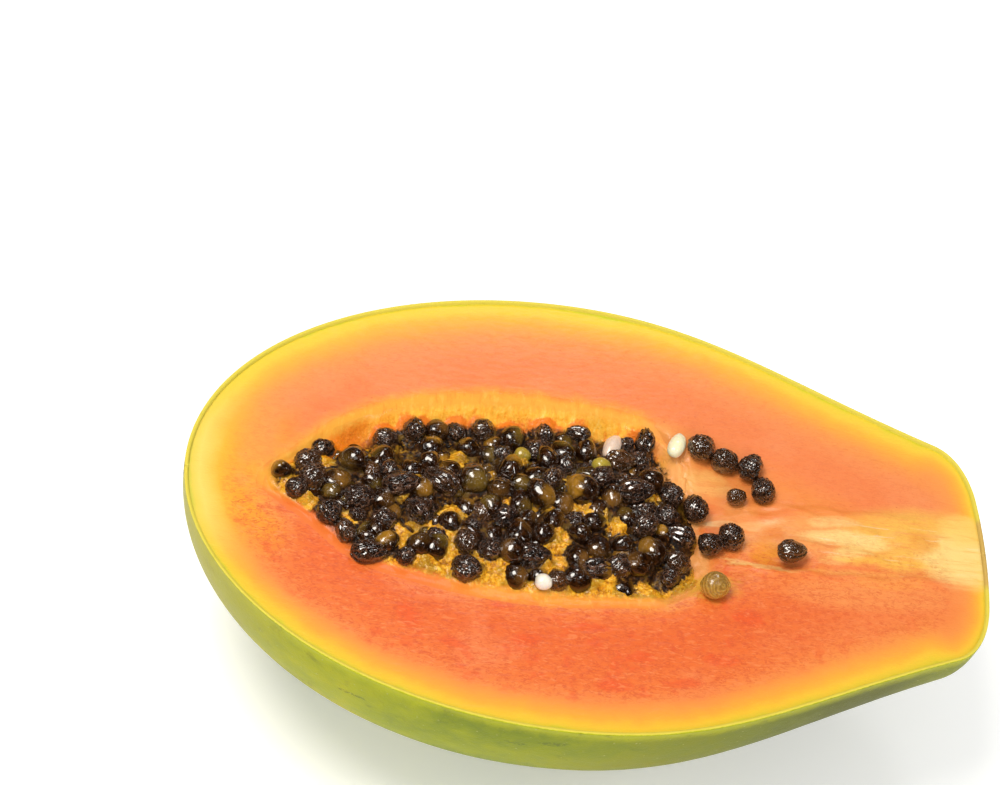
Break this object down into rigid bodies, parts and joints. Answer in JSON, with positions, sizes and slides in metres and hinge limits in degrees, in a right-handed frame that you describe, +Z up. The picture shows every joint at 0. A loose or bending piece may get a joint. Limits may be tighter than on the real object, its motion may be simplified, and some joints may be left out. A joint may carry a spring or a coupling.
{
  "type": "papaya half",
  "caption": "Pear-shaped papaya cut lengthwise, lying on its skin with the cut face up, its pointed cavity heaped with seeds and pulp.",
  "frame": {"origin": "centre of the bounding box's base, on the flat that the half rests on", "axes": "+X along the fruit towards the stem end, +Y across the cut face, +Z up out of the cut face"},
  "size_m": [0.16, 0.1008, 0.0535],
  "materials": {
    "flesh": "satin",
    "seeds": "gloss",
    "skin": "satin",
    "pulp": "satin",
    "core": "satin"
  },
  "bodies": {
    "root": {"papaya_half": "flesh", "seed_heap": "seeds"}
  },
  "joints": []
}
